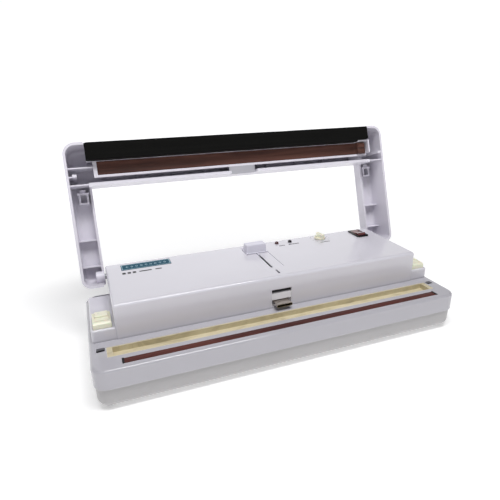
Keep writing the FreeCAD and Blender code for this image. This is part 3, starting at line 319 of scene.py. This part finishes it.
def foam():
    """Black closed-cell foam: burst cells, soft sheen, slightly grey where it has been pressed."""
    g = Graph("black_cell_foam")
    worn = g.noise(55.0, 5.0, 0.7, (0.4, 1.4, 1.4))
    cells = g.voronoi(1500.0)
    pores = g.voronoi(620.0)
    tone = g.ramp(worn, [(0.3, srgb(9, 9, 8)), (0.75, srgb(18, 18, 17))])
    colour = g.mix(g.grey(cells, 0.75, 0.0, 0.05, 0.45), tone, srgb(3, 3, 3))
    normal = g.bump(cells, 0.5, 0.12 * MM)
    normal = g.bump(pores, 0.35, 0.25 * MM, normal)
    return g.finish(colour, g.grey(worn, 0.72, 0.9), normal, Sheen_Weight=0.02, Specular_IOR_Level=0.08)


def badge_film():
    """Teal printed film with a brushed ground."""
    g = Graph("badge_teal_film")
    lines = g.noise(500.0, 3.0, 0.7, (0.05, 3, 1))
    colour = g.ramp(lines, [(0.3, srgb(6, 66, 88)), (0.7, srgb(18, 86, 108))])
    return g.finish(colour, g.grey(lines, 0.32, 0.48), g.bump(lines, 0.08, 0.04 * MM),
                    Specular_IOR_Level=0.12)


def ink(name, rgb):
    """Screen-printed ink: slightly uneven cover."""
    g = Graph(name)
    base = srgb(*rgb)
    cover = g.noise(1800.0, 3.0, 0.7)
    colour = g.ramp(cover, [(0.3, base), (0.8, shade(base, 1.3))])
    return g.finish(colour, g.grey(cover, 0.4, 0.55), g.bump(cover, 0.1, 0.02 * MM))


MATERIALS["beige_liner"] = beige_liner()
MATERIALS["brown_cover"] = woven_cover()
MATERIALS["brown_rubber"] = silicone_pad()
MATERIALS["black_foam"] = foam()
MATERIALS["teal_badge"] = badge_film()

OWN_LOOK = {
    # painted shade: the guide's near-black top stands for the shade inside the window, not for a dark plastic
    "nozzle_guide": moulded("guide_white_painted_shade_slot", (236, 234, 238), (0.25, 0.4), edge=0,
                            painted_shade_band=(GUIDE_PAINTED_SHADE_Z, 1.0, 0.012)),
}

# ------------------------------------------------------------------ looks of the CAD nodes
EDGE_SPLIT_DEG = 28
FLAT_FACE_WEIGHT = 100

slot_of = {row["node"]: row["material_slot"] for row in frame["record"]["subparts"]}
for node, obj in nodes.items():
    obj.data.materials.clear()
    obj.data.materials.append(OWN_LOOK.get(node, MATERIALS[slot_of[node]]))
    for polygon in obj.data.polygons:
        polygon.use_smooth = True
    smooth = obj.modifiers.new("edges", "EDGE_SPLIT")
    smooth.split_angle = math.radians(EDGE_SPLIT_DEG)
    flat_faces = obj.modifiers.new("flat_faces", "WEIGHTED_NORMAL")
    flat_faces.weight = FLAT_FACE_WEIGHT

# ------------------------------------------------------------------ helpers for the pieces


def new_piece(name, mesh_maker, material, body):
    bm = bmesh.new()
    mesh_maker(bm)
    mesh = bpy.data.meshes.new(name)
    bm.to_mesh(mesh)
    bm.free()
    obj = bpy.data.objects.new(name, mesh)
    bpy.context.collection.objects.link(obj)
    mesh.materials.append(material)
    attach(obj, body)
    return obj


joints = {j["name"]: j for j in frame["joints"]}
hinge = Vector(joints["lid_hinge"]["pos_m"])
LID_OPEN = math.radians(joints["lid_hinge"]["range_deg"][1])
ALONG_S = Vector((0, -math.cos(LID_OPEN), math.sin(LID_OPEN)))
ALONG_T = Vector((0, math.sin(LID_OPEN), math.cos(LID_OPEN)))


def lid_point(x, s, t):
    """A point of the open lid from its own distances: s forward of the hinge when closed, t above it."""
    return Vector((x, hinge.y, hinge.z)) + ALONG_S * s + ALONG_T * t


def lid_extent(node):
    """Range of x, s and t of a CAD node of the lid."""
    points = [v.co for v in nodes[node].data.vertices]
    xs = [p.x for p in points]
    ss = [(p - hinge).dot(ALONG_S) for p in points]
    ts = [(p - hinge).dot(ALONG_T) for p in points]
    return (min(xs), max(xs)), (min(ss), max(ss)), (min(ts), max(ts))


def base_extent(node):
    """Range of x, y and z of a CAD node."""
    points = [v.co for v in nodes[node].data.vertices]
    return [(min(p[k] for p in points), max(p[k] for p in points)) for k in range(3)]


def loft(bm, rings):
    """Skin closed rings of vertices in turn, and cap both ends."""
    count = len(rings[0])
    for a, b in zip(rings, rings[1:]):
        for k in range(count):
            bm.faces.new((a[k], a[(k + 1) % count], b[(k + 1) % count], b[k]))
    bm.faces.new(list(reversed(rings[0])))
    bm.faces.new(rings[-1])
    bmesh.ops.recalc_face_normals(bm, faces=bm.faces)


# ------------------------------------------------------------------ foam strip in the lid
CLIP_X = 157.3 * MM           # the foam is cut back here, round the clip of the pad channel
CLIP_TOP_S = 126.7 * MM
FOAM_STEPS = 240


def foam_strip(bm):
    """Cut foam bar: slightly wavy faces, rounded edges, a pressed groove where the heating strip bears."""
    (x0, x1), (s0, s1), (t0, t1) = lid_extent("lid_foam")
    side = 0.9 * MM
    groove = t0 + 0.35 * MM
    ring_s = [s0, s0, s0 + side, s0 + 0.27 * (s1 - s0), s0 + 0.42 * (s1 - s0), s0 + 0.58 * (s1 - s0),
              s0 + 0.73 * (s1 - s0), s1 - side, s1, s1, s1 - side, s0 + side]
    ring_t = [t1, t0 + side, t0, t0, groove, groove, t0, t0, t0 + side, t1, t1, t1]
    rings = []
    xs = [x0 + (x1 - x0) * i / FOAM_STEPS for i in range(FOAM_STEPS + 1)]
    xs = sorted(xs + [CLIP_X - 0.1 * MM, CLIP_X])
    for i, x in enumerate(xs):
        end = min(i, len(xs) - 1 - i)
        shrink = {0: 0.8 * MM, 1: 0.25 * MM}.get(end, 0.0)
        low = CLIP_TOP_S if x >= CLIP_X else s0
        ring = []
        for k, (s, t) in enumerate(zip(ring_s, ring_t)):
            wobble = noise.noise(Vector((x * 28, k * 3.1, 0))) * 0.28 * MM
            ds = wobble if s > (s0 + s1) / 2 else -wobble
            s_in = min(max(s + ds, low + shrink), s1 - shrink)
            t_in = max(t + abs(wobble) * (1 if t < t1 else 0), t0 + shrink)
            ring.append(bm.verts.new(lid_point(x, s_in, min(t_in, t1))))
        rings.append(ring)
    loft(bm, rings)


foam_piece = new_piece("lid_foam_strip", foam_strip, MATERIALS["black_foam"], "lid")
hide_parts("lid_foam")
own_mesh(foam_piece)

for side in ("left", "right"):
    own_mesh(nodes["latch_spring_" + side])

# ------------------------------------------------------------------ heating-strip tape
TAPE_THICK = 0.12 * MM
TAPE_STEPS = 320


def heater_tape(bm):
    """Woven tape stretched over the heating strip: edges turned down, faint ripples along its length."""
    (x0, x1), (y0, y1), (z0, z1) = base_extent("heater_cover")
    across = [(0.0, -1.0), (0.02, -0.25), (0.10, 0.0), (0.28, 0.0), (0.42, 1.0), (0.5, 1.15),
              (0.58, 1.0), (0.72, 0.0), (0.90, 0.0), (0.98, -0.25), (1.0, -1.0)]
    rows = []
    for i in range(TAPE_STEPS + 1):
        x = x0 + (x1 - x0) * i / TAPE_STEPS
        row = []
        for f, lift in across:
            y = y0 + (y1 - y0) * f
            ripple = noise.noise(Vector((x * 60, y * 240, 1.7))) * 0.05 * MM
            z = z1 - TAPE_THICK - 0.16 * MM + 0.12 * MM * lift + ripple
            row.append(Vector((x, y, max(z0, min(z, z1 - TAPE_THICK)))))
        rows.append(row)
    tops = [[bm.verts.new(p + Vector((0, 0, TAPE_THICK))) for p in row] for row in rows]
    unders = [[bm.verts.new(p) for p in row] for row in rows]
    n = len(across)
    for sheet, flip in ((tops, False), (unders, True)):
        for a, b in zip(sheet, sheet[1:]):
            for k in range(n - 1):
                face = (a[k], b[k], b[k + 1], a[k + 1])
                bm.faces.new(tuple(reversed(face)) if flip else face)
    for k in (0, n - 1):
        for i in range(TAPE_STEPS):
            bm.faces.new((tops[i][k], tops[i + 1][k], unders[i + 1][k], unders[i][k]))
    for i in (0, TAPE_STEPS):
        for k in range(n - 1):
            bm.faces.new((tops[i][k], tops[i][k + 1], unders[i][k + 1], unders[i][k]))
    bmesh.ops.recalc_face_normals(bm, faces=bm.faces)


tape = new_piece("heater_glass_tape", heater_tape, MATERIALS["brown_cover"], "base")
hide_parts("heater_cover")

# ------------------------------------------------------------------ brown pad
PAD_THICK = 1.5 * MM
PAD_STEPS = 200
PAD_END_X = 158.5 * MM        # the pad rises over PAD_RAMP from here to its right end
PAD_RAMP = 2.5 * MM


def pad_strip(bm):
    """Silicone pad: crowned face with a shallow working groove, softened edges, raised right end."""
    (x0, x1), (s0, s1), (t_end, t1) = lid_extent("brown_pad")
    across = [(0.0, 0.9), (0.0, 0.35), (0.03, 0.12), (0.10, 0.03), (0.30, 0.0),
              (0.44, 0.02), (0.5, 0.10), (0.56, 0.02),
              (0.70, 0.0), (0.90, 0.03), (0.97, 0.12), (1.0, 0.35), (1.0, 0.9), (1.0, 1.0), (0.0, 1.0)]
    rings = []
    for i in range(PAD_STEPS + 1):
        f = i / PAD_STEPS
        x = x0 + (x1 - x0) * f
        drop = {0: 0.35, 1: 0.1}.get(min(i, PAD_STEPS - i), 0.0)
        raised = min(1.0, max(0.0, (x - PAD_END_X) / PAD_RAMP))
        t0 = (t1 - PAD_THICK) * (1 - raised) + t_end * raised
        ring = []
        for across_f, depth in across:
            wave = abs(noise.noise(Vector((x * 35, across_f * 3.0, 4.2)))) * 0.06
            level = min(1.0, max(depth + drop * (1 - depth), depth + wave * (1 - depth)))
            ring.append(bm.verts.new(lid_point(x, s0 + (s1 - s0) * across_f, t0 + (t1 - t0) * level)))
        rings.append(ring)
    loft(bm, rings)


pad_piece = new_piece("brown_silicone_pad", pad_strip, MATERIALS["brown_rubber"], "lid")
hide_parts("brown_pad")

# ------------------------------------------------------------------ printed marks on the panel
BADGE_PROUD = 0.3 * MM        # the badge stands this far above the panel
PANEL_TOP = base_extent("badge_plate")[2][1] - BADGE_PROUD
INK_LIFT = 0.03 * MM
CORNER_CUT = 0.35             # of half a bar's width


def printed_bars(bars):
    """Thin raised ink shapes; each bar is x, y of its middle, length, width, and turn in degrees."""
    def maker(bm):
        for x, y, length, width, turn in bars:
            a = math.radians(turn)
            along = Vector((math.cos(a), math.sin(a), 0)) * (length * MM / 2)
            side = Vector((-math.sin(a), math.cos(a), 0)) * (width * MM / 2)
            middle = Vector((x * MM, y * MM, PANEL_TOP))
            r = min(length, width) / 2 * CORNER_CUT * MM
            outline = []
            for su, sv in ((1, 1), (-1, 1), (-1, -1), (1, -1)):
                corner = middle + along * su + side * sv
                pull_u = along.normalized() * (-su * r)
                pull_v = side.normalized() * (-sv * r)
                pair = [corner + pull_v, corner + pull_u]
                outline += pair if su * sv > 0 else pair[::-1]
            low = [bm.verts.new(p) for p in outline]
            high = [bm.verts.new(p + Vector((0, 0, INK_LIFT))) for p in outline]
            bm.faces.new(high)
            for k in range(len(outline)):
                m = (k + 1) % len(outline)
                bm.faces.new((low[k], low[m], high[m], high[k]))
        bmesh.ops.recalc_face_normals(bm, faces=bm.faces)
    return maker


black_ink = ink("screen_ink_black", (24, 24, 28))
# rows of plain marks: first x, y, pitch, count, length and width, in millimetres
MARK_ROWS = [
    (34.0, 27.2, 2.0, 4, 1.5, 2.3),         # under the lamps
    (47.0, 27.2, 2.0, 7, 1.5, 2.3),
    (141.0, 16.4, 2.4, 6, 1.8, 2.5),        # under the rocker
    (-152.0, 15.6, 5.4, 3, 3.6, 4.6),       # under the badge: three squares and two bars
    (-129.5, 15.6, 0.0, 1, 13.0, 2.6),
    (-115.5, 15.6, 0.0, 1, 7.0, 2.6),
]
KNOB_MARKS = (87.0, 19.0, 2.2, 6, 1.6, 2.1)  # under the knob


def mark_row(x, y, pitch, count, length, width):
    return [(x + pitch * i, y, length, width, 0) for i in range(count)]


marks = [bar for row in MARK_ROWS for bar in mark_row(*row)]
new_piece("panel_marks", printed_bars(marks), black_ink, "base")

# scale round the knob: one tick for each step of the time
(kx0, kx1), (ky0, ky1), _ = base_extent("timer_knob")
knob_x, knob_y = (kx0 + kx1) / 2 / MM, (ky0 + ky1) / 2 / MM
TICKS, TICK_START_DEG, TICK_TURN_DEG, TICK_RADIUS = 11, 225, 27, 11.5
ticks = []
for i in range(TICKS):
    a = math.radians(TICK_START_DEG - TICK_TURN_DEG * i)
    tick_x, tick_y = knob_x + TICK_RADIUS * math.cos(a), knob_y + TICK_RADIUS * math.sin(a)
    ticks.append((tick_x, tick_y, 1.6, 0.5, math.degrees(a)))
ticks += mark_row(*KNOB_MARKS)
new_piece("knob_scale", printed_bars(ticks), black_ink, "base")

LOZENGES = 9


def badge_trim(bm):
    """Pale border line and a row of small lozenges printed on the badge."""
    (x0, x1), (y0, y1), (z0, z1) = base_extent("badge_plate")
    inset, width = 1.1 * MM, 0.45 * MM
    lift = Vector((0, 0, INK_LIFT))

    def ribbon(points, closed=False):
        tops, lows = [], []
        count = len(points)
        for i, p in enumerate(points):
            before = points[i - 1] if closed or i else p
            after = points[(i + 1) % count] if closed or i + 1 < count else p
            way = (after - before).normalized()
            side = Vector((-way.y, way.x, 0)) * (width / 2)
            tops.append((bm.verts.new(p + side + lift), bm.verts.new(p - side + lift)))
            lows.append((bm.verts.new(p + side), bm.verts.new(p - side)))
        for i in range(count if closed else count - 1):
            j = (i + 1) % count
            bm.faces.new((tops[i][0], tops[i][1], tops[j][1], tops[j][0]))
            for k in (0, 1):
                bm.faces.new((tops[i][k], tops[j][k], lows[j][k], lows[i][k]))
    left, right, front, back = x0 + inset, x1 - inset, y0 + inset, y1 - inset
    radius = 0.8 * MM
    border = []
    for cx, cy, start in ((right - radius, back - radius, 0), (left + radius, back - radius, 90),
                          (left + radius, front + radius, 180), (right - radius, front + radius, 270)):
        for step in range(4):
            a = math.radians(start + 30 * step)
            border.append(Vector((cx + radius * math.cos(a), cy + radius * math.sin(a), z1)))
    ribbon(border, closed=True)
    middle = (y0 + y1) / 2
    for i in range(LOZENGES):
        x = x0 + (x1 - x0) * (0.12 + 0.095 * i)
        half_x, half_y = 1.1 * MM, (y1 - y0) * 0.16
        ribbon([Vector((x - half_x, middle, z1)), Vector((x, middle + half_y, z1)),
                Vector((x + half_x, middle, z1)), Vector((x, middle - half_y, z1))], closed=True)
    bmesh.ops.recalc_face_normals(bm, faces=bm.faces)


new_piece("badge_lines", badge_trim, ink("screen_ink_pale", (176, 208, 218)), "base")

# ------------------------------------------------------------------ stage, light and camera
SPAN = 40.0
WHITE = (1.02, 1.02, 1.02, 1.0)

floor_mesh = bpy.data.meshes.new("floor")
corners = [(-SPAN, -SPAN, 0), (SPAN, -SPAN, 0), (SPAN, SPAN, 0), (-SPAN, SPAN, 0)]
floor_mesh.from_pydata(corners, [], [(0, 1, 2, 3)])
floor = bpy.data.objects.new("floor", floor_mesh)
bpy.context.collection.objects.link(floor)
g = Graph("floor_pale")
paper = g.noise(3.0, 2.0)
g.finish(g.grey(paper, 0.88, 0.90), g.grey(paper, 0.8, 0.9), Emission_Color=(1.0, 1.0, 1.0, 1.0))
# the sweep glows a little more away from the lamp, so that it stays evenly white
far = g.add("VectorMath")
far.operation = "LENGTH"
g.link(g.coords, far.inputs[0])
glow = g.map_range(far.outputs["Value"], From_Min=0.25, From_Max=0.8, To_Min=0.36, To_Max=0.95)
g.link(glow, g.bsdf.inputs["Emission Strength"])
floor_mesh.materials.append(g.mat)

world = bpy.data.worlds.new("studio")
bpy.context.scene.world = world
world.use_nodes = True
sky = Nodes(world.node_tree)
background = world.node_tree.nodes["Background"]
# white behind the object and towards the horizon, greyer overhead and on the near side of the room
direction = sky.separate(sky.add("TexCoord").outputs["Generated"])
lean = sky.add("Math")
lean.operation = "MULTIPLY_ADD"
sky.link(direction["Z"], lean.inputs[0])
lean.inputs[1].default_value = -1.3
sky.link(direction["Y"], lean.inputs[2])
dome = sky.add("ValToRGB")
sky.link(sky.map_range(lean.outputs[0], From_Min=-1.0), dome.inputs["Fac"])
DOME_STOPS = ((0.46, (0.10, 0.10, 0.105, 1.0)), (0.70, WHITE))
for element, (position, colour) in zip(dome.color_ramp.elements, DOME_STOPS):
    element.position = position
    element.color = colour
# the horizon fades to white all round
horizon = sky.map_range(direction["Z"], From_Max=0.12, To_Min=1.0, To_Max=0.0)
blend = sky.add("Mix")
blend.data_type = "RGBA"
sky.link(horizon, blend.inputs["Factor"])
sky.link(dome.outputs["Color"], blend.inputs[COLOUR_A])
blend.inputs[COLOUR_B].default_value = WHITE
sky.link(blend.outputs[COLOUR_OUT], background.inputs["Color"])
background.inputs["Strength"].default_value = 1.0


def area_light(name, place, target, size, power):
    light = bpy.data.lights.new(name, "AREA")
    light.shape = "RECTANGLE"
    light.size, light.size_y = size
    light.energy = power
    obj = bpy.data.objects.new(name, light)
    bpy.context.collection.objects.link(obj)
    obj.location = place
    obj.rotation_euler = (Vector(target) - Vector(place)).to_track_quat("-Z", "Y").to_euler()


area_light("key_high_front", (-0.02, -0.32, 0.98), (0, 0, 0.05), (0.6, 0.4), 5.4)
area_light("edge_strip", (-0.10, -0.30, 0.95), (-0.10, 0, 0.05), (0.9, 0.10), 2.3)

# the camera is solved from the proportions of the base and the lid
LENS_MM, SENSOR_MM = 31.45, 36.0
CAMERA_PLACE = Vector((-0.1752, -0.42671, 0.26891))
PITCH, YAW, ROLL = math.radians(21.35), math.radians(20.57), math.radians(-0.8)
forward = Vector((math.sin(YAW) * math.cos(PITCH), math.cos(YAW) * math.cos(PITCH), -math.sin(PITCH)))
level_right = Vector((math.cos(YAW), -math.sin(YAW), 0))
level_up = level_right.cross(forward)
right = level_right * math.cos(ROLL) + level_up * math.sin(ROLL)
up = level_up * math.cos(ROLL) - level_right * math.sin(ROLL)
camera_data = bpy.data.cameras.new("camera")
camera = bpy.data.objects.new("camera", camera_data)
bpy.context.collection.objects.link(camera)
camera_data.sensor_width = SENSOR_MM
camera_data.lens = LENS_MM
camera.matrix_world = Matrix.Translation(CAMERA_PLACE) @ Matrix(
    ((right.x, up.x, -forward.x), (right.y, up.y, -forward.y), (right.z, up.z, -forward.z))).to_4x4()
bpy.context.scene.camera = camera
bpy.context.scene.view_settings.view_transform = "Standard"
